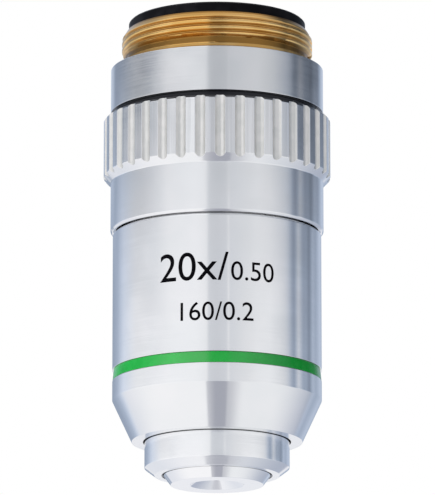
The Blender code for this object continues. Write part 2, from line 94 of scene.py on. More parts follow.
def smooth_mesh(name, points, faces, sharp_deg=35):
    """A mesh from points in millimetres, with its faces looking out, and smooth but for its sharp edges."""
    mesh = bpy.data.meshes.new(name)
    mesh.from_pydata((np.asarray(points, dtype=float) * MM).tolist(), [], faces)
    bm = bmesh.new()
    bm.from_mesh(mesh)
    bmesh.ops.remove_doubles(bm, verts=bm.verts, dist=1e-8)
    bmesh.ops.recalc_face_normals(bm, faces=bm.faces)
    bm.to_mesh(mesh)
    bm.free()
    mesh.shade_smooth()
    mesh.set_sharp_from_angle(angle=math.radians(sharp_deg))
    return mesh


def fit_piece(name, mesh, material, body, node=None):
    """Puts a piece on its body, in the place of its plain solid if it has one."""
    piece = bpy.data.objects.new(name, mesh)
    mesh.materials.append(material)
    bpy.context.scene.collection.objects.link(piece)
    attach(piece, body)
    if node:
        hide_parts(node)
    return piece


def sheet_faces(rows, columns, closed=True):
    """Four-sided faces of rows of points that close on themselves round the axis."""
    faces = []
    for i in range(rows if closed else rows - 1):
        n = (i + 1) % rows
        for j in range(columns):
            k = (j + 1) % columns
            faces.append((i * columns + j, i * columns + k, n * columns + k, n * columns + j))
    return faces


def turned_mesh(name, outline, closed=True):
    """A mesh turned about the optical axis. An outline that isn't closed starts and ends on the axis."""
    angles = np.linspace(0, 2 * math.pi, AROUND, endpoint=False)
    radius, height = np.array([tuple(p) for p in outline]).T[:, :, None]
    points = np.stack([radius * np.cos(angles), radius * np.sin(angles), height + 0 * angles], axis=-1)
    return smooth_mesh(name, points.reshape(-1, 3), sheet_faces(len(outline), AROUND, closed))


def put(tree, kind, inputs=(), **settings):
    """Adds a shader node and feeds its inputs with plain values or with the outputs of other nodes."""
    node = tree.nodes.new(kind)
    for key, value in settings.items():
        setattr(node, key, value)
    for key, value in dict(inputs).items():
        if isinstance(value, bpy.types.NodeSocket):
            tree.links.new(value, node.inputs[key])
        else:
            node.inputs[key].default_value = value
    return node


def reckon(tree, operation, first, second=0.0):
    """Works out a number from one or two others."""
    return put(tree, "ShaderNodeMath", {0: first, 1: second}, operation=operation).outputs[0]


def ramp(tree, value, low, high, to_low=0.0, to_high=1.0):
    """Carries a value from one range to another with soft ends, and holds it outside."""
    inputs = {"Value": value, "From Min": low, "From Max": high, "To Min": to_low, "To Max": to_high}
    return put(tree, "ShaderNodeMapRange", inputs, interpolation_type="SMOOTHSTEP").outputs["Result"]


def mixed(tree, share, first, second):
    """Mixes two colours, each a tuple or the output of another node."""
    node = put(tree, "ShaderNodeMix", data_type="RGBA")
    for key, value in ((0, share), (6, first), (7, second)):
        if isinstance(value, bpy.types.NodeSocket):
            tree.links.new(value, node.inputs[key])
        else:
            node.inputs[key].default_value = value if key == 0 else (*value, 1.0)
    return node.outputs[2]


def place_on_piece(tree):
    """The surface point's place, its distance from the optical axis and its height, in metres."""
    place = put(tree, "ShaderNodeTexCoord").outputs["Object"]
    x, y, z = put(tree, "ShaderNodeSeparateXYZ", {0: place}).outputs
    square = reckon(tree, "ADD", reckon(tree, "MULTIPLY", x, x), reckon(tree, "MULTIPLY", y, y))
    return place, reckon(tree, "SQRT", square), z


def cloud(tree, place, scale, detail=3.0):
    """Soft patches from 0 to 1, scale of them to a metre."""
    inputs = {"Vector": place, "Scale": scale, "Detail": detail}
    return put(tree, "ShaderNodeTexNoise", inputs).outputs["Fac"]


def lathe_marks(tree, place, radius, height):
    """Fine rings that the lathe tool leaves, a little uneven on the way round."""
    uneven_a_metre = 150.0
    x = put(tree, "ShaderNodeSeparateXYZ", {0: place}).outputs[0]
    rings = put(tree, "ShaderNodeCombineXYZ", {0: reckon(tree, "DIVIDE", radius, marks_spacing),
                                               1: reckon(tree, "DIVIDE", height, marks_spacing),
                                               2: reckon(tree, "MULTIPLY", x, uneven_a_metre)}).outputs[0]
    return cloud(tree, rings, scale=1.0, detail=2.0)


def turned_metal(name, paint, roughness, wander=0.04, marks_depth=3e-7, anisotropy=0.7):
    """Lathe-turned metal that mirrors less sharply along its axis than round it. paint gives its colour."""
    marks_share = 0.4
    quarter_turn = 0.25
    material = bpy.data.materials.new(name)
    material.use_nodes = True
    tree = material.node_tree
    shader = tree.nodes["Principled BSDF"]
    place, radius, height = place_on_piece(tree)
    marks = lathe_marks(tree, place, radius, height)
    handled = cloud(tree, place, scale=260.0, detail=4.0)
    uneven = reckon(tree, "ADD", reckon(tree, "MULTIPLY", marks, marks_share),
                    reckon(tree, "MULTIPLY", handled, 1 - marks_share))
    bump = put(tree, "ShaderNodeBump", {"Height": marks, "Distance": marks_depth})
    around = put(tree, "ShaderNodeTangent", direction_type="RADIAL", axis="Z")
    tree.links.new(paint(tree, place, radius, height), shader.inputs["Base Color"])
    tree.links.new(ramp(tree, uneven, *patch_range, roughness - wander, roughness + wander),
                   shader.inputs["Roughness"])
    tree.links.new(bump.outputs["Normal"], shader.inputs["Normal"])
    tree.links.new(around.outputs[0], shader.inputs["Tangent"])
    shader.inputs["Metallic"].default_value = 1.0
    shader.inputs["Anisotropic"].default_value = anisotropy
    shader.inputs["Anisotropic Rotation"].default_value = quarter_turn
    return material


def facing_in(tree, place):
    """1 on faces that look towards the optical axis, and 0 on the others."""
    inward = -1e-4
    normal = put(tree, "ShaderNodeTexCoord").outputs["Normal"]
    flat = put(tree, "ShaderNodeVectorMath", {0: place, 1: (1.0, 1.0, 0.0)}, operation="MULTIPLY").outputs[0]
    outward = put(tree, "ShaderNodeVectorMath", {0: normal, 1: flat}, operation="DOT_PRODUCT")
    return reckon(tree, "LESS_THAN", outward.outputs["Value"], inward)


def two_tones(tones, scale=180.0):
    """Paint that wanders between two tones of one metal."""
    def paint(tree, place, radius, height):
        return mixed(tree, ramp(tree, cloud(tree, place, scale), *patch_range), *tones)
    return paint


def mount_paint(tree, place, radius, height):
    """Bare brass over the shoulder, grey chromium below it, and black on the neck and inside."""
    brass = two_tones(brass_tones)(tree, place, radius, height)
    plating = two_tones(collar_tones)(tree, place, radius, height)
    below_collar = reckon(tree, "LESS_THAN", height, (collar_bottom - paint_margin) * MM)
    neck = reckon(tree, "MULTIPLY", below_collar, reckon(tree, "GREATER_THAN", height, neck_bottom * MM))
    plated = mixed(tree, neck, plating, black_tone)
    outside = mixed(tree, ramp(tree, height, 0, fine_edge * MM), plated, brass)
    return mixed(tree, facing_in(tree, place), outside, black_tone)


mount_metal = turned_metal("mount_body_plated_brass", mount_paint, roughness=0.16)
mount_outline = eased([
    (spring_bore, thread_top),
    (spring_bore, guide_ledge),
    (guide_bore, guide_ledge),
    (guide_bore, tube_bottom),
    (tube_radius - edge, tube_bottom),
    (tube_radius, tube_bottom + edge),
    (tube_radius, neck_bottom),
    (neck_radius, neck_bottom),
    (neck_radius, collar_bottom),
    (collar_radius, collar_bottom),
    (collar_radius, 0),
    (undercut_radius, 0),
    (thread_core, -undercut_depth),
    (thread_core, thread_top),
])
fit_piece("mount_body_turned", turned_mesh("mount_body_turned", mount_outline), mount_metal,
          "barrel", "mount_body")

# Mounting thread, 36 turns to the inch, cut shallow with flat crests on the end of the mount body, in bare
# brass. It starts in a chamfer at the top and runs out in a groove over a narrow land. Its roots, the
# groove, the land and the corner over the shoulder are darkened brown as painted shade.
thread_radius = 10.1
thread_pitch = 25.4 / 36
thread_depth = 0.4 * thread_pitch
thread_foot = -0.2
thread_start_turn = 0.57
land_radius = 10.02
land_top = 0.72
groove_radius = 9.66
groove_bottom = 0.77
groove_top = 1.4
runout = ((thread_foot, land_radius), (land_top, land_radius), (0.76, 9.98), (groove_bottom, groove_radius),
          (groove_top, groove_radius), (1.58, 9.9), (1.7, thread_radius))
chamfer_width = 0.5
chamfer_height = 0.8
# Brown of the painted shade in the thread's roots, groove, land and corner over the shoulder.
root_shade_brown = (0.31, 0.16, 0.04)
turn_shares = (0, 0.14, 0.18, 0.21, 0.24, 0.40, 0.44, 0.48, 0.52, 0.56, 0.60, 0.76, 0.79, 0.82, 0.86)
turn_heights = (1, 1, 0.97, 0.89, 0.76, 0.16, 0.04, 0, 0, 0.04, 0.16, 0.76, 0.89, 0.97, 1)


def thread_points():
    """Rows that climb with the helix, held between the thread's ends, and a wall inside to close them."""
    angles = np.linspace(0, 2 * math.pi, AROUND, endpoint=False)
    climb = angles / (2 * math.pi) + thread_start_turn
    turns = math.ceil(thread_top / thread_pitch) + 3
    rows = []
    for turn in range(-3, turns):
        for share in turn_shares:
            height = np.clip(thread_pitch * (turn + share + climb), thread_foot, thread_top)
            form = np.interp((height / thread_pitch - climb) % 1, (*turn_shares, 1.0), (*turn_heights, 1.0))
            into_chamfer = np.clip((height - thread_top + chamfer_height) / chamfer_height, 0, 1)
            radius = np.minimum(thread_radius - thread_depth * (1 - form),
                                thread_radius - chamfer_width * into_chamfer)
            land = np.interp(height, *np.array(runout).T)
            radius = np.where(height < runout[-1][0], np.minimum(radius, land), radius)
            radius = np.where(height < groove_bottom, land, radius)
            rows.append((radius, height))
    inside = np.full_like(angles, thread_core - edge)
    rows.append((inside, np.full_like(angles, thread_top)))
    rows.append((inside, np.full_like(angles, thread_foot)))
    return np.array([np.stack([r * np.cos(angles), r * np.sin(angles), z], axis=-1) for r, z in rows])


def thread_paint(tree, place, radius, height):
    """Brass, with brown painted shade in the roots, the groove, the land and the corner over the shoulder.
    """
    crest_margin = 0.06
    soft_edge = 0.1
    dark_corner = 0.36
    root_painted_shade = 0.6
    corner_painted_shade = 0.85
    land_painted_shade = 0.4
    brass = two_tones(brass_tones)(tree, place, radius, height)
    root = ramp(tree, radius, (thread_radius - thread_depth) * MM, (thread_radius - crest_margin) * MM,
                root_painted_shade, 0.0)
    groove_wall = groove_radius + 2 * paint_margin
    groove = ramp(tree, radius, groove_wall * MM, (groove_wall + soft_edge) * MM, 1.0, 0.0)
    corner = ramp(tree, height, dark_corner * MM, (dark_corner + soft_edge) * MM, corner_painted_shade, 0.0)
    over_land = land_top + 2 * paint_margin
    land = ramp(tree, height, over_land * MM, (over_land + 4 * paint_margin) * MM, land_painted_shade, 0.0)
    # Painted shade: the darkest of the four masks sets how far the brass turns brown.
    painted_shade = reckon(tree, "MAXIMUM", reckon(tree, "MAXIMUM", root, groove),
                  reckon(tree, "MAXIMUM", corner, land))
    return mixed(tree, painted_shade, brass, root_shade_brown)


thread_rows = thread_points()
thread_mesh = smooth_mesh("mounting_thread", thread_rows.reshape(-1, 3),
                          sheet_faces(len(thread_rows), AROUND), sharp_deg=50)
fit_piece("mounting_thread", thread_mesh, turned_metal("thread_bare_brass", thread_paint, roughness=0.2),
          "barrel")

# Grip sleeve, a chromed ring with 36 round-bottomed flutes for the fingers, in one piece with the skirt. It
# screws over the tube, up against the neck. The milling cutter leaves the flutes duller than the lands, and
# the top and its bevel are black.
grip_radius = 12.0
grip_top = -5.4
grip_bottom = -12.35
grip_bevel = 0.25
skirt_bottom = -17.65
sleeve_bore = 10.05
neck_bore = 10.55
seat = 0.02
flute_count = 36
flute_width = 1.05
flute_depth = 0.35
flute_first_deg = -88.4
flute_ease = 0.16
flute_lips = (0.015, 0.04, 0.08)
nick = 0.03
sleeve_tones = ((0.87, 0.88, 0.89), (0.90, 0.90, 0.91))
stripe_tone = (0.3, 0.31, 0.33)
flute_tones = ((0.78, 0.78, 0.76), (0.85, 0.84, 0.82))


def sleeve_paint(tree, place, radius, height):
    """Bright chromium with faint upright stripes on the lands, and black on the top and its bevel."""
    stripe_shade = 0.17
    chrome = two_tones(sleeve_tones)(tree, place, radius, height)
    upright = put(tree, "ShaderNodeVectorMath", {0: place, 1: (1.0, 1.0, 0.02)}, operation="MULTIPLY")
    streaks = cloud(tree, upright.outputs[0], scale=2600.0, detail=2.0)
    stripes = ramp(tree, streaks, *patch_range, 0.0, stripe_shade)
    on_land = reckon(tree, "GREATER_THAN", radius, (grip_radius - 2 * paint_margin) * MM)
    striped = mixed(tree, reckon(tree, "MULTIPLY", stripes, on_land), chrome, stripe_tone)
    on_bevel = reckon(tree, "GREATER_THAN", reckon(tree, "ADD", radius, height),
                      (grip_radius - grip_bevel + grip_top - 2 * paint_margin) * MM)
    on_top = reckon(tree, "GREATER_THAN", height, (grip_top - paint_margin) * MM)
    return mixed(tree, reckon(tree, "MAXIMUM", on_bevel, on_top), striped, black_tone)


def flute_columns():
    """Angles round the grip, and the radius that the flutes leave at each."""
    points_in_a_flute = 17
    points_on_a_land = 5
    half = flute_width / 2
    cutter = (half ** 2 + flute_depth ** 2) / (2 * flute_depth)
    centre = grip_radius - flute_depth + cutter
    reach = half / grip_radius
    period = 2 * math.pi / flute_count
    inside = np.sin(np.linspace(-1, 1, points_in_a_flute) * math.pi / 2) * reach
    shoulder = reach + np.array(flute_lips) / grip_radius
    land = np.linspace(shoulder[-1], period - shoulder[-1], points_on_a_land)[1:-1]
    offsets = np.concatenate([inside, shoulder, land, period - shoulder[::-1]])
    across = np.minimum(np.abs(offsets), np.abs(period - offsets))
    side = centre * np.sin(across)
    floor = centre * np.cos(across) - np.sqrt(np.maximum(cutter ** 2 - side ** 2, 0))
    floor = np.where(side < cutter, floor, grip_radius + 1)
    near = np.maximum(1 - np.abs(floor - grip_radius) / flute_ease, 0)
    left = np.minimum(floor, grip_radius) - near ** 2 * flute_ease / 4
    starts = math.radians(flute_first_deg) + period * np.arange(flute_count)
    return (starts[:, None] + offsets).ravel(), np.tile(left, flute_count)


def grip_points():
    """Rows from the bore down the skirt's inside and out, then up the chamfer, the flutes and the bevel."""
    points_a_corner = 7
    angles, left = flute_columns()
    plain = eased([(neck_bore, grip_top), (neck_bore, neck_bottom - seat), (sleeve_bore, neck_bottom - seat),
                   (sleeve_bore, skirt_bottom), (collar_radius - edge, skirt_bottom),
                   (collar_radius, skirt_bottom + edge), (collar_radius, grip_bottom),
                   (grip_radius, grip_top)])
    rows = [(r + 0 * left, z + 0 * left) for r, z in plain[1:-2 * points_a_corner]]
    rise = left - collar_radius
    bevel_foot = grip_radius - grip_bevel
    drop = np.maximum(left - bevel_foot, 0)
    top_foot = np.minimum(left, bevel_foot)
    rows += [(collar_radius + 0 * left, grip_bottom - 2 * nick + 0 * left),
             (collar_radius + 0 * left, grip_bottom - nick + 0 * left)]
    for share in (nick, 2 * nick, 0.25, 0.5, 0.75, 1 - 2 * nick, 1 - nick):
        rows.append((collar_radius + rise * share, grip_bottom + rise * share))
    low = grip_bottom + rise
    high = grip_top - drop
    for share in (nick / 5, 2 * nick / 5, 0.25, 0.5, 0.75, 1 - 2 * nick / 5, 1 - nick / 5):
        rows.append((left, low + (high - low) * share))
    for share in (nick * 3, 0.5, 1 - nick * 3):
        rows.append((left - drop * share, high + drop * share))
    rows += [(top_foot - nick, grip_top + 0 * left), (top_foot - 2 * nick, grip_top + 0 * left),
             (neck_bore + 2 * nick + 0 * left, grip_top + 0 * left)]
    return np.array([np.stack([r * np.cos(angles), r * np.sin(angles), z], axis=-1) for r, z in rows])


grip_rows = grip_points()
grip_mesh = smooth_mesh("grip_sleeve_fluted", grip_rows.reshape(-1, 3),
                        sheet_faces(*grip_rows.shape[:2]), sharp_deg=40)
fit_piece("grip_sleeve_fluted", grip_mesh, turned_metal("sleeve_chrome", sleeve_paint, roughness=0.14),
          "barrel", "grip_sleeve")
grip_mesh.materials.append(turned_metal("milled_flutes", two_tones(flute_tones, scale=900.0), roughness=0.46,
                                        marks_depth=1e-7, anisotropy=0.2))
steepest_wall = 0.3
for face in grip_mesh.polygons:
    turns = (math.degrees(math.atan2(face.center.y, face.center.x)) - flute_first_deg) * flute_count / 360
    across = abs(turns - round(turns)) * 2 * math.pi / flute_count * grip_radius
    in_grip = grip_bottom * MM < face.center.z < grip_top * MM and face.center.xy.length > collar_radius * MM
    upright = abs(face.normal.z) < steepest_wall
    if in_grip and upright and across < flute_width / 2:
        face.material_index = 1

# Parfocal shim, a thin brass washer under the flange of the lens barrel. Its thickness is picked at assembly
# to bring the lenses to the right distance. It is sealed in, so the plain solid only gets its finish.
inner_brass_tones = ((0.62, 0.40, 0.16), (0.74, 0.52, 0.25))
inner_brass = turned_metal("inner_brass", two_tones(inner_brass_tones), roughness=0.3)


def finish_node(name, material):
    """Gives a plain solid of the frame its finish."""
    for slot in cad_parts[name].material_slots:
        slot.material = material


finish_node("parfocal_shim", inner_brass)

# Lens barrel, the brass tube that slides in the mount body and holds the stack of cells. A slot in its
# flange rides on the guide screw, and the nose sleeve screws on its lower end.
nose_thread = 6.87
stem_radius = 7.25
flange_radius = 8.85
cell_bore = 6.2
lens_barrel_bottom = -42.33
stack_seat = -41.53
nose_sleeve_top = -36.25
flange_bottom = -20.66
flange_top = -16.06
hub_top = -13.56
guide_slot_width = 1.5
guide_slot_depth = 1.3
past_the_end = 1
front_cell_radius = 5.6
lens_barrel_lip = front_cell_radius + 0.1


def cut_bars(piece, bars):
    """Mills straight slots into a piece. Each bar is a (size, centre) pair in millimetres."""
    bm = bmesh.new()
    for size, centre in bars:
        made = bmesh.ops.create_cube(bm, size=MM)["verts"]
        bmesh.ops.scale(bm, vec=size, verts=made)
        bmesh.ops.translate(bm, vec=Vector(centre) * MM, verts=made)
    mesh = bpy.data.meshes.new("milling_cutter")
    bm.to_mesh(mesh)
    bm.free()
    cutter = bpy.data.objects.new("milling_cutter", mesh)
    bpy.context.scene.collection.objects.link(cutter)
    modifier = piece.modifiers.new("slots", "BOOLEAN")
    modifier.operation = "DIFFERENCE"
    modifier.object = cutter
    cut = bpy.data.meshes.new_from_object(piece.evaluated_get(bpy.context.evaluated_depsgraph_get()))
    cut.set_sharp_from_angle(angle=math.radians(35))
    piece.modifiers.clear()
    piece.data = cut
    bpy.data.objects.remove(cutter)


lens_barrel_outline = eased([
    (lens_barrel_lip, lens_barrel_bottom),
    (nose_thread, lens_barrel_bottom),
    (nose_thread, nose_sleeve_top + seat),
    (stem_radius, nose_sleeve_top + seat),
    (stem_radius, flange_bottom),
    (flange_radius, flange_bottom),
    (flange_radius, flange_top),
    (stem_radius, flange_top),
    (stem_radius, hub_top - edge),
    (stem_radius - edge, hub_top),
    (cell_bore, hub_top),
    (cell_bore, stack_seat),
    (lens_barrel_lip, stack_seat),
])
lens_barrel = fit_piece("lens_barrel_turned", turned_mesh("lens_barrel_turned", lens_barrel_outline),
                        inner_brass, "nose", "lens_barrel")
cut_bars(lens_barrel, [((guide_slot_width, 2 * guide_slot_depth, flange_top - flange_bottom + past_the_end),
                        (0, flange_radius, (flange_top + flange_bottom) / 2))])

# Front cell and front lens. The cell is a satin chromed turning with a shallow cone round a small hole. The
# thick coated front lens is cemented in from behind, so that its nearly flat side looks out of the hole.
front_face = -44.55
front_taper = 0.75
front_exposure = 1.0
cell_radius = 6.15
cone_radius = 2.85
cone_depth = 0.8
hole_radius = 1.7
hole_land = 0.12
lens_radius = 2.6
lens_thickness = 2.6
lens_front_radius = -60.0
lens_rear_radius = -3.2
front_cell_top = -40.73
front_cell_mouth = 3.8
front_cell_mouth_depth = 1.1
fine_ease = 0.03
satin_tones = ((0.90, 0.91, 0.92), (0.93, 0.93, 0.94))


def sag(curve_radius, r):
    """Height of a spherical surface over its vertex, r away from the axis."""
    return curve_radius - math.copysign(math.sqrt(curve_radius ** 2 - r ** 2), curve_radius)


def lens_outline(vertex, thickness, radii, rim, rings=24):
    """A lens from its front vertex to its rear one, with a fine bevel at both edges of its ground rim."""
    clear = rim - fine_edge
    steps = np.linspace(0, 1, rings) * clear
    front = [(r, vertex + sag(radii[0], r)) for r in steps]
    rear = [(r, vertex + thickness + sag(radii[1], r)) for r in steps]
    return [*front, (rim, front[-1][1] + fine_edge), (rim, rear[-1][1] - fine_edge), *reversed(rear)]


def optical_glass(name, tint, index, coating_nm):
    """Polished glass with an antireflection coating, a few fine dust specks and a faint tint."""
    dust_tone = (0.8, 0.8, 0.78)
    material = bpy.data.materials.new(name)
    material.use_nodes = True
    tree = material.node_tree
    shader = tree.nodes["Principled BSDF"]
    place = place_on_piece(tree)[0]
    dust = ramp(tree, cloud(tree, place, scale=4000.0, detail=2.0), 0.72, 0.8)
    tree.links.new(mixed(tree, dust, tint, dust_tone), shader.inputs["Base Color"])
    tree.links.new(ramp(tree, dust, 0.0, 1.0, 0.01, 0.3), shader.inputs["Roughness"])
    shader.inputs["Transmission Weight"].default_value = 1.0
    shader.inputs["IOR"].default_value = index
    shader.inputs["Thin Film Thickness"].default_value = coating_nm
    shader.inputs["Thin Film IOR"].default_value = 1.38
    return material


crown_glass = optical_glass("crown_glass_coated", (0.97, 0.99, 0.98), index=1.52, coating_nm=110.0)
flint_glass = optical_glass("flint_glass_coated", (0.99, 0.98, 0.95), index=1.65, coating_nm=130.0)
satin_chrome = turned_metal("satin_chrome", two_tones(satin_tones), roughness=0.09, wander=0.02)
hole_top = front_face + cone_depth + hole_land
lens_vertex = hole_top + seat - sag(lens_front_radius, lens_radius)
front_cell_outline = eased([
    (hole_radius, front_face + cone_depth),
    (cone_radius, front_face),
    (front_cell_radius - front_taper, front_face),
    (front_cell_radius, front_face + front_exposure),
    (front_cell_radius, stack_seat + seat),
    (cell_radius, stack_seat + seat),
    (cell_radius, front_cell_top),
    (front_cell_mouth, front_cell_top),
    (lens_radius + seat, front_cell_top - front_cell_mouth_depth),
    (lens_radius + seat, hole_top),
    (hole_radius, hole_top),
], fine_ease)
fit_piece("front_cell_turned", turned_mesh("front_cell_turned", front_cell_outline), satin_chrome,
          "nose", "front_cell")
lens_points = lens_outline(lens_vertex, lens_thickness, (lens_front_radius, lens_rear_radius), lens_radius)
fit_piece("front_lens_ground", turned_mesh("front_lens_ground", lens_points, closed=False), crown_glass,
          "nose", "front_lens")

# Stack of cells behind the front cell. Each brass cell holds one glass or a cemented pair, and black rings
# space them. They are sealed in or deep in the bore, so the plain solids only get their finish.


def black_metal(name, tone, roughness, gloss=0.5):
    """Blackened metal, with a slightly greyer bloom where it has been handled."""
    worn = tuple(channel * 1.8 + 0.004 for channel in tone)
    marks_depth = 8e-7
    material = bpy.data.materials.new(name)
    material.use_nodes = True
    tree = material.node_tree
    shader = tree.nodes["Principled BSDF"]
    place, radius, height = place_on_piece(tree)
    bloom = ramp(tree, cloud(tree, place, scale=500.0), 0.4, 0.75)
    marks = lathe_marks(tree, place, radius, height)
    bump = put(tree, "ShaderNodeBump", {"Height": marks, "Distance": marks_depth})
    tree.links.new(mixed(tree, bloom, tone, worn), shader.inputs["Base Color"])
    tree.links.new(ramp(tree, bloom, 0.0, 1.0, roughness, roughness + 0.1), shader.inputs["Roughness"])
    tree.links.new(bump.outputs["Normal"], shader.inputs["Normal"])
    shader.inputs["Specular IOR Level"].default_value = gloss
    return material


stop_black = black_metal("stop_black", (0.01, 0.01, 0.011), roughness=0.5)
for cell in ("second_lens_cell", "doublet_a_cell", "doublet_b_cell", "rear_lens_cell"):
    finish_node(cell, inner_brass)
for glass in ("second_lens", "doublet_a_front", "doublet_b_front", "rear_lens_rear"):
    finish_node(glass, crown_glass)
for glass in ("doublet_a_rear", "doublet_b_rear", "rear_lens_front"):
    finish_node(glass, flint_glass)
for ring in ("spacer_ring", "aperture_stop", "spacer_tube"):
    finish_node(ring, stop_black)

# Lock ring, a black threaded ring that clamps the stack from behind. Its two slots are for a pin spanner.
lock_ring_top = -13.86
lock_ring_height = 1.2
lock_ring_bore = 4.6
spanner_slot_width = 1.2
spanner_slot_depth = 0.6
lock_ring_outline = eased([
    (lock_ring_bore, lock_ring_top - lock_ring_height),
    (cell_radius, lock_ring_top - lock_ring_height),
    (cell_radius, lock_ring_top),
    (lock_ring_bore, lock_ring_top),
])
lock_ring = fit_piece("lock_ring_slotted", turned_mesh("lock_ring_slotted", lock_ring_outline), stop_black,
                      "nose", "lock_ring")
cut_bars(lock_ring, [((2 * cell_radius + 2 * past_the_end, spanner_slot_width, 2 * spanner_slot_depth),
                      (0, 0, lock_ring_top))])

# Nose sleeve, the bevelled cup screwed on the end of the lens barrel, in satin chromium. It is the part that
# gives way into the cone when the objective meets the slide.
nose_radius = 7.6
nose_bore = 6.92
nose_face = -43.55
nose_bevel_width = 1.05
nose_bevel_height = 0.8
nose_floor = nose_face + 1.2
nose_hole = front_cell_radius + 0.05
cone_bottom = -40.0
mouth_shade = 0.12
seam_bevel = 0.12
nose_ease = 0.04


def nose_paint(tree, place, radius, height):
    """Satin chromium that is black inside, with black painted shade in the seam and where it goes into the
    cone.
    """
    chrome = two_tones(satin_tones)(tree, place, radius, height)
    # Painted shade: black where the nose goes up into the cone and in the seam round the front cell.
    mouth_painted_shade = ramp(tree, height, (cone_bottom - mouth_shade) * MM, cone_bottom * MM)
    seam_edge = nose_hole + seam_bevel
    seam_painted_shade = ramp(tree, radius, (seam_edge - 2 * paint_margin) * MM, seam_edge * MM, 1.0, 0.0)
    dark = reckon(tree, "MAXIMUM", reckon(tree, "MAXIMUM", mouth_painted_shade, seam_painted_shade), facing_in(tree, place))
    return mixed(tree, dark, chrome, black_tone)


nose_outline = eased([
    (nose_hole, nose_face + seam_bevel),
    (nose_hole + seam_bevel, nose_face),
    (nose_radius - nose_bevel_width, nose_face),
    (nose_radius, nose_face + nose_bevel_height),
    (nose_radius, nose_sleeve_top - edge),
    (nose_radius - edge, nose_sleeve_top),
    (nose_bore, nose_sleeve_top),
    (nose_bore, nose_floor),
    (nose_hole, nose_floor),
], nose_ease)
fit_piece("nose_sleeve_bevelled", turned_mesh("nose_sleeve_bevelled", nose_outline),
          turned_metal("nose_satin_chrome", nose_paint, roughness=0.16), "nose", "nose_sleeve")

# Spring, music wire wound with a closed turn at each end. It pushes the flange of the lens barrel down on
# the shim, and its top end stays against the rear ring.
wire = 0.7
rear_ring_bottom = 1.55
coil_radius = (spring_bore + stem_radius) / 2
closed_turns = 1
active_turns = 6
points_a_turn = 48
wire_sides = 12
blued_tone = (0.30, 0.31, 0.34)
straw_tone = (0.40, 0.37, 0.33)


def spring_points():
    """Rings of points round the wire, which climbs slowly in the closed turns and evenly between them."""
    low = flange_top + seat + wire / 2
    high = rear_ring_bottom - seat - wire / 2
    turns = active_turns + 2 * closed_turns
    turn = np.linspace(0, turns, turns * points_a_turn + 1)
    active = np.clip(turn - closed_turns, 0, active_turns)
    closed_rise = wire + seat
    active_rise = (high - low - 2 * closed_turns * closed_rise) / active_turns
    height = low + active * active_rise + (turn - active) * closed_rise
    angle = 2 * math.pi * turn
    round_wire = np.linspace(0, 2 * math.pi, wire_sides, endpoint=False)
    radius = coil_radius + wire / 2 * np.cos(round_wire)
    lift = wire / 2 * np.sin(round_wire)
    return np.stack([radius * np.cos(angle)[:, None], radius * np.sin(angle)[:, None],
                     height[:, None] + lift], axis=-1)


def wire_paint(tree, place, radius, height):
    """Blued steel that has gone straw brown in places."""
    return mixed(tree, ramp(tree, cloud(tree, place, scale=700.0), 0.4, 0.7), blued_tone, straw_tone)


spring_rows = spring_points()
wire_ends = [tuple(range(wire_sides)),
             tuple(range(len(spring_rows) * wire_sides - wire_sides, len(spring_rows) * wire_sides))]
spring_mesh = smooth_mesh("spring_wound", spring_rows.reshape(-1, 3),
                          sheet_faces(len(spring_rows), wire_sides, closed=False) + wire_ends, sharp_deg=50)
spring_steel = turned_metal("spring_steel", wire_paint, roughness=0.3, anisotropy=0.0)
spring = fit_piece("spring_wound", spring_mesh, spring_steel, "barrel", "spring")
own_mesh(spring)

# Guide screw, a steel dog-point screw in the tube wall. Its tip runs in the flange's slot, so that the lens
# barrel slides without turning. It is sealed in under the skirt.
finish_node("guide_screw", spring_steel)

# Rear ring, a black anodised ring screwed into the top of the bore. It keeps the spring in, and its lip sits
# on the end of the thread. Two blind slots in its top are for a pin spanner.
ring_bore = 7.6
ring_body = 8.85
ring_lip = 9.375
ring_seat = thread_top + seat
ring_top = ring_seat + 1.13
slot_reach = ring_bore + 1.1
ring_tone = (0.002, 0.002, 0.003)
ring_outline = eased([
    (ring_bore, rear_ring_bottom),
    (ring_body, rear_ring_bottom),
    (ring_body, ring_seat),
    (ring_lip, ring_seat),
    (ring_lip, ring_top - edge),
    (ring_lip - edge, ring_top),
    (ring_bore + edge, ring_top),
    (ring_bore, ring_top - edge),
])
rear_ring = fit_piece("rear_ring_slotted", turned_mesh("rear_ring_slotted", ring_outline),
                      black_metal("ring_black", ring_tone, roughness=0.4, gloss=0.07),
                      "barrel", "rear_ring")
cut_bars(rear_ring, [((2 * slot_reach, spanner_slot_width, 2 * spanner_slot_depth), (0, 0, ring_top))])

# Engraved barrel, the chromed cover that screws up the tube under the skirt. It narrows in a cone to a mouth
# round the nose, and a groove for the colour band runs round it over the cone.
barrel_radius = 11.0
barrel_top = -17.75
barrel_cavity = 9.55
cone_top = -35.6
cone_mouth = 7.72
mouth_land = 1.5
cone_end = 8.95
band_top = -32.4
band_bottom = -33.6
band_floor = 10.8
barrel_ease = 0.04
barrel_tones = ((0.87, 0.88, 0.89), (0.90, 0.90, 0.91))
barrel_outline = eased([
    (sleeve_bore, barrel_top),
    (sleeve_bore, tube_bottom - edge),
    (barrel_cavity, tube_bottom - edge),
    (barrel_cavity, cone_top),
    (cone_mouth, cone_bottom + mouth_land),
    (cone_mouth, cone_bottom),
    (cone_end, cone_bottom),
    (barrel_radius, cone_top),
    (barrel_radius, band_bottom),
    (band_floor, band_bottom),
    (band_floor, band_top),
    (barrel_radius, band_top),
    (barrel_radius, barrel_top - edge),
    (barrel_radius - edge, barrel_top),
], barrel_ease)


def barrel_paint(tree, place, radius, height):
    """Bright chromium outside, black inside and in the mouth round the nose."""
    chrome = two_tones(barrel_tones)(tree, place, radius, height)
    return mixed(tree, facing_in(tree, place), chrome, black_tone)


fit_piece("engraved_barrel_turned", turned_mesh("engraved_barrel_turned", barrel_outline),
          turned_metal("barrel_chrome", barrel_paint, roughness=0.12, wander=0.02),
          "barrel", "engraved_barrel")

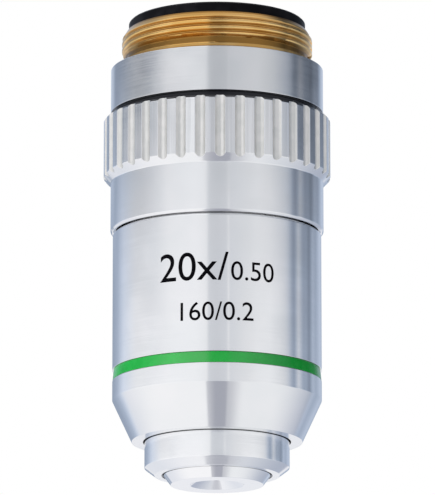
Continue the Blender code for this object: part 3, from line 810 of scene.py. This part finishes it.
# Colour band, green enamel run into the groove and stoved. Its colour gives the magnification. It is flush
# at its lower edge and a little low at the upper one, so that it mirrors the higher cards.
band_tilt = 0.12
band_outline = eased([
    (band_floor + seat, band_bottom + seat),
    (barrel_radius - seat, band_bottom + seat),
    (barrel_radius - seat - band_tilt, band_top - seat),
    (band_floor + seat, band_top - seat),
], fine_ease)


def glossy_enamel(name, first, second, gloss):
    """Stoved enamel with a slight orange peel, and a tone that wanders between two near ones."""
    peel_depth = 1e-6
    material = bpy.data.materials.new(name)
    material.use_nodes = True
    tree = material.node_tree
    shader = tree.nodes["Principled BSDF"]
    place = place_on_piece(tree)[0]
    tree.links.new(mixed(tree, ramp(tree, cloud(tree, place, scale=300.0), *patch_range), first, second),
                   shader.inputs["Base Color"])
    peel = cloud(tree, place, scale=2500.0, detail=1.0)
    bump = put(tree, "ShaderNodeBump", {"Height": peel, "Distance": peel_depth})
    tree.links.new(bump.outputs["Normal"], shader.inputs["Normal"])
    tree.links.new(ramp(tree, cloud(tree, place, scale=1200.0), 0.3, 0.7, 0.16, 0.22),
                   shader.inputs["Roughness"])
    shader.inputs["Specular IOR Level"].default_value = gloss
    return material


green_enamel = glossy_enamel("green_enamel", (0.001, 0.29, 0.028), (0.002, 0.33, 0.036), gloss=1.0)
fit_piece("colour_band_enamel", turned_mesh("colour_band_enamel", band_outline), green_enamel,
          "barrel", "colour_band")

# Engraved figures, cut in the barrel and filled with black: a magnification and an aperture in the upper
# line, a tube length and a cover glass in the lower. They are generic, with each line centred on the front.
black_enamel = glossy_enamel("engraving_black", (0.001, 0.001, 0.002), (0.002, 0.002, 0.003), gloss=0.03)
fill_depth = 0.05
fill_proud = 0.006
slice_width = 0.3
figure_share = 0.729
stroke_gain = 0.002
large_figures = 3.1
small_figures = 2.08
small_figures_gap = 0.25
lower_figures = 2.03
upper_line = -24.9
lower_line = -29.15


def flat_figures(text, height, left):
    """A flat mesh of the figures in millimetres, its left edge at left, and where its right edge is."""
    curve = bpy.data.curves.new("figures", "FONT")
    curve.body = text
    curve.size = height / figure_share
    curve.extrude = fill_depth / 2
    curve.resolution_u = 8
    curve.offset = stroke_gain * height
    pattern = bpy.data.objects.new("figures", curve)
    bpy.context.scene.collection.objects.link(pattern)
    mesh = bpy.data.meshes.new_from_object(pattern.evaluated_get(bpy.context.evaluated_depsgraph_get()))
    bpy.data.objects.remove(pattern)
    xs = [v.co.x for v in mesh.vertices]
    for v in mesh.vertices:
        v.co.x += left - min(xs)
    return mesh, left + max(xs) - min(xs)


def engrave(name, figures, base):
    """Wraps one line of figures round the barrel. figures holds (text, height, gap before it)."""
    bm = bmesh.new()
    right = 0.0
    for text, height, gap in figures:
        mesh, right = flat_figures(text, height, right + gap)
        bm.from_mesh(mesh)
    for x in np.arange(slice_width, right, slice_width):
        bmesh.ops.bisect_plane(bm, geom=bm.verts[:] + bm.edges[:] + bm.faces[:], plane_co=(x, 0, 0),
                               plane_no=(1, 0, 0))
    for vert in bm.verts:
        angle = (vert.co.x - right / 2) / barrel_radius - math.pi / 2
        radius = barrel_radius + fill_proud - fill_depth / 2 + vert.co.z
        vert.co = Vector((radius * math.cos(angle), radius * math.sin(angle), base + vert.co.y)) * MM
    bmesh.ops.remove_doubles(bm, verts=bm.verts, dist=1e-7)
    bmesh.ops.recalc_face_normals(bm, faces=bm.faces)
    mesh = bpy.data.meshes.new(name)
    bm.to_mesh(mesh)
    bm.free()
    fit_piece(name, mesh, black_enamel, "barrel")


engrave("figures_magnification", [("20x/", large_figures, 0.0), ("0.50", small_figures, small_figures_gap)],
        upper_line)
engrave("figures_tube_length", [("160/0.2", lower_figures, 0.0)], lower_line)

# Studio. The objective hangs in white air over a plain pale floor. Its metal mirrors cards that stand round
# it, dark where the camera looks in: lower ones in the barrel, upper ones in the collar and high ones in the
# thread. A card edge is (degrees round from the camera, brightness), and a rise is degrees over the horizon.
camera_distance = 0.6
camera_below_deg = 12.4
aim_height = -0.0191
aim_side = 0.00005
focal_length = 413.5
floor_height = -0.2
floor_reach = 1.5
floor_tone = (0.93, 0.93, 0.93)
lamp_place = (-0.6, -0.45, 0.1)
lamp_size = 0.4
lamp_watts = 5.0
plain_light = 0.62
brightest = 1.2
lower_room = (
    (-180, 0.36), (-155, 0.40), (-142, 0.50), (-125, 0.82), (-105, 0.96), (-85, 1.04), (-45, 1.04),
    (-22, 1.0), (-10.6, 0.94), (-9.4, 0.73), (0, 0.70), (11.0, 0.75), (12.4, 1.0), (13.8, 0.76), (27, 0.83),
    (45, 0.93), (60, 0.97), (72, 0.90), (80, 0.81), (85, 0.70), (90, 0.50), (94, 0.40), (101.5, 0.74),
    (110, 0.44), (116, 0.43), (122.5, 0.30), (131, 0.54), (140, 0.45), (158, 0.58), (180, 0.40),
)
upper_room = (
    (-180, 0.80), (-155, 0.60), (-146, 0.30), (-125, 0.17), (-111, 0.10), (-88, 0.06), (-78, 0.15),
    (-70, 0.28), (-55, 0.57), (-25, 0.74), (-10.6, 0.72), (-9.4, 0.61), (10, 0.58), (16, 0.63), (45, 0.62),
    (60, 0.46), (72, 0.32), (80, 0.25), (87, 0.15), (92, 0.03), (98, 0.0), (108, 0.0), (126, 0.04),
    (142, 0.10), (155, 0.56), (180, 0.80),
)
high_room = (
    (-180, 0.7), (-120, 0.6), (-60, 1.15), (-11, 1.2), (-9.0, 0.16), (11.0, 0.16), (16, 0.45), (30, 0.55),
    (50, 0.5), (70, 0.3), (95, 0.12), (130, 0.12), (160, 0.4), (180, 0.7),
)
horizon_rise = (-14.0, -9.0)
upper_cards_rise = (12.1, 14.3)
high_cards_rise = (17.0, 24.0)
ceiling_rise = (45.0, 65.0)
far_card_rise = (-6.0, -3.0)
far_card_side = (-0.95, -0.9)
gap_spread = (-80.0, -40.0, 0.12, 0.14)
gap_left_steps = ((-1.38, -1.18, 0.0, 0.68), (-1.3, -0.1, 0.0, 0.32))
gap_right_steps = ((1.13, 1.33, 0.35, 0.0), (1.3, 3.4, 0.65, 0.0))
gap_back = (-0.3, -0.1)
table_left_side = (-0.75, 0.1)
table_right_side = (-0.85, 0.3)
table_left_to_right = (0.0, 0.35)
dim_to_bright = (0.3, 0.9)
front_share = (0.0, 0.6, 0.0, 0.85)
back_share = (-0.7, -0.1, 0.5, 1.0)
dim_tint = (0.84, 1.0, 1.29)
bright_tint = (0.995, 1.0, 1.02)
ceiling_tone = (1.1, 1.1, 1.12)
gap_tone = (0.42, 0.43, 0.49)
left_far_tone = (0.80, 0.82, 0.88)
left_near_tone = (0.985, 0.985, 1.0)
right_far_tone = (0.45, 0.49, 0.59)
right_near_tone = (0.90, 0.91, 0.93)
far_card_tone = (0.86, 0.87, 0.91)


def round_the_room(tree, turn, cards):
    """How bright one height of the room is by the turn round the object, from its card edges."""
    ring = put(tree, "ShaderNodeFloatCurve", {"Value": turn})
    curve = ring.mapping.curves[0]
    ring.mapping.extend = "HORIZONTAL"
    while len(curve.points) < len(cards):
        curve.points.new(0.5, 0.5)
    for point, (angle, bright) in zip(curve.points, cards):
        point.handle_type = "VECTOR"
        point.location = ((angle + 180) / 360, bright / brightest)
    ring.mapping.update()
    return reckon(tree, "MULTIPLY", ring.outputs[0], brightest)


def cards_over_the_horizon(tree, x, ahead, rise):
    """Three heights of cards, bluer where they are dim or behind the object, under a bright ceiling."""
    turn = reckon(tree, "ADD", reckon(tree, "DIVIDE", reckon(tree, "ARCTAN2", x, ahead), 2 * math.pi), 0.5)
    low, high = upper_cards_rise
    up = put(tree, "ShaderNodeMapRange", {"Value": rise, "From Min": low, "From Max": high})
    bright = put(tree, "ShaderNodeMix", {0: up.outputs["Result"], 2: round_the_room(tree, turn, lower_room),
                                         3: round_the_room(tree, turn, upper_room)}).outputs[0]
    bright = put(tree, "ShaderNodeMix", {0: ramp(tree, rise, *high_cards_rise), 2: bright,
                                         3: round_the_room(tree, turn, high_room)}).outputs[0]
    plain = reckon(tree, "MAXIMUM", ramp(tree, bright, *dim_to_bright), ramp(tree, ahead, *front_share))
    plain = reckon(tree, "MULTIPLY", plain, ramp(tree, ahead, *back_share))
    tint = mixed(tree, plain, dim_tint, bright_tint)
    cards = put(tree, "ShaderNodeVectorMath", {0: tint, "Scale": bright}, operation="SCALE").outputs[0]
    return mixed(tree, ramp(tree, rise, *ceiling_rise), cards, ceiling_tone)


def table_under_the_horizon(tree, x, ahead, rise):
    """A pale table, darker behind and on the right, with a gap in front that fades out on its right."""
    across = reckon(tree, "DIVIDE", x, ramp(tree, rise, *gap_spread))
    left = reckon(tree, "ADD", *(ramp(tree, across, *step) for step in gap_left_steps))
    right = reckon(tree, "ADD", *(ramp(tree, across, *step) for step in gap_right_steps))
    in_gap = reckon(tree, "MULTIPLY", reckon(tree, "MULTIPLY", left, right), ramp(tree, ahead, *gap_back))
    left_side = mixed(tree, ramp(tree, ahead, *table_left_side), left_far_tone, left_near_tone)
    right_side = mixed(tree, ramp(tree, ahead, *table_right_side), right_far_tone, right_near_tone)
    table = mixed(tree, ramp(tree, x, *table_left_to_right), left_side, right_side)
    return mixed(tree, in_gap, table, gap_tone)


def light_the_room():
    """A world that metal sees as the studio, that lights all else plainly and is white to the camera."""
    world = bpy.data.worlds.new("studio")
    bpy.context.scene.world = world
    world.use_nodes = True
    tree = world.node_tree
    tree.nodes.clear()
    direction = put(tree, "ShaderNodeTexCoord").outputs["Generated"]
    x, y, z = put(tree, "ShaderNodeSeparateXYZ", {0: direction}).outputs
    ahead = reckon(tree, "MULTIPLY", y, -1.0)
    rise = reckon(tree, "DIVIDE", reckon(tree, "ARCSINE", z), math.radians(1.0))
    studio = mixed(tree, ramp(tree, rise, *horizon_rise), table_under_the_horizon(tree, x, ahead, rise),
                   cards_over_the_horizon(tree, x, ahead, rise))
    far_card = reckon(tree, "MULTIPLY", ramp(tree, ahead, *far_card_side, 1.0, 0.0),
                      ramp(tree, rise, *far_card_rise, 1.0, 0.0))
    studio = mixed(tree, far_card, studio, far_card_tone)
    path = put(tree, "ShaderNodeLightPath").outputs
    lighting = put(tree, "ShaderNodeBackground", {"Color": (1.0, 1.0, 1.0, 1.0), "Strength": plain_light})
    mirrored = put(tree, "ShaderNodeBackground", {"Color": studio})
    white = put(tree, "ShaderNodeBackground", {"Color": (1.0, 1.0, 1.0, 1.0)})
    metal = put(tree, "ShaderNodeMixShader", {0: path["Is Glossy Ray"], 1: lighting.outputs[0],
                                              2: mirrored.outputs[0]})
    clear = reckon(tree, "MAXIMUM", path["Is Camera Ray"], path["Is Transmission Ray"])
    seen = put(tree, "ShaderNodeMixShader", {0: clear, 1: metal.outputs[0], 2: white.outputs[0]})
    put(tree, "ShaderNodeOutputWorld", {0: seen.outputs[0]})


def hang_lamp():
    """A soft square lamp on the left, which looks at the objective's middle and isn't seen in the metal."""
    light = bpy.data.lights.new("key_lamp", "AREA")
    light.size = lamp_size
    light.energy = lamp_watts
    lamp = bpy.data.objects.new("key_lamp", light)
    lamp.location = lamp_place
    lamp.rotation_euler = (Vector((0, 0, aim_height)) - lamp.location).to_track_quat("-Z", "Y").to_euler()
    lamp.visible_glossy = False
    bpy.context.scene.collection.objects.link(lamp)


def lay_floor():
    """A pale floor far under the objective that keeps its shadow. It is clear from below and in mirrors."""
    mesh = bpy.data.meshes.new("floor")
    sides = ((-1, -1), (1, -1), (1, 1), (-1, 1))
    corners = [(x * floor_reach, y * floor_reach, floor_height) for x, y in sides]
    mesh.from_pydata(corners, [], [(0, 1, 2, 3)])
    floor = bpy.data.objects.new("floor", mesh)
    bpy.context.scene.collection.objects.link(floor)
    material = bpy.data.materials.new("floor_pale")
    material.use_nodes = True
    tree = material.node_tree
    paper = tree.nodes["Principled BSDF"]
    paper.inputs["Base Color"].default_value = (*floor_tone, 1.0)
    paper.inputs["Roughness"].default_value = 0.8
    clear = put(tree, "ShaderNodeBsdfTransparent")
    from_below = put(tree, "ShaderNodeNewGeometry").outputs["Backfacing"]
    shown = put(tree, "ShaderNodeMixShader", {0: from_below, 1: paper.outputs[0], 2: clear.outputs[0]})
    tree.links.new(shown.outputs[0], tree.nodes["Material Output"].inputs["Surface"])
    mesh.materials.append(material)
    floor.visible_glossy = False
    floor.visible_transmission = False


def set_camera():
    """A long lens a little below the objective, which looks up at it as in the photograph."""
    below = math.radians(camera_below_deg)
    data = bpy.data.cameras.new("camera")
    data.lens = focal_length
    data.sensor_width = 36.0
    data.clip_start = 0.01
    data.clip_end = 10.0
    camera = bpy.data.objects.new("camera", data)
    camera.location = (aim_side, -camera_distance * math.cos(below),
                       aim_height - camera_distance * math.sin(below))
    camera.rotation_euler = (math.pi / 2 + below, 0, 0)
    bpy.context.scene.collection.objects.link(camera)
    bpy.context.scene.camera = camera


light_the_room()
hang_lamp()
lay_floor()
set_camera()
bpy.context.scene.view_settings.view_transform = "Standard"
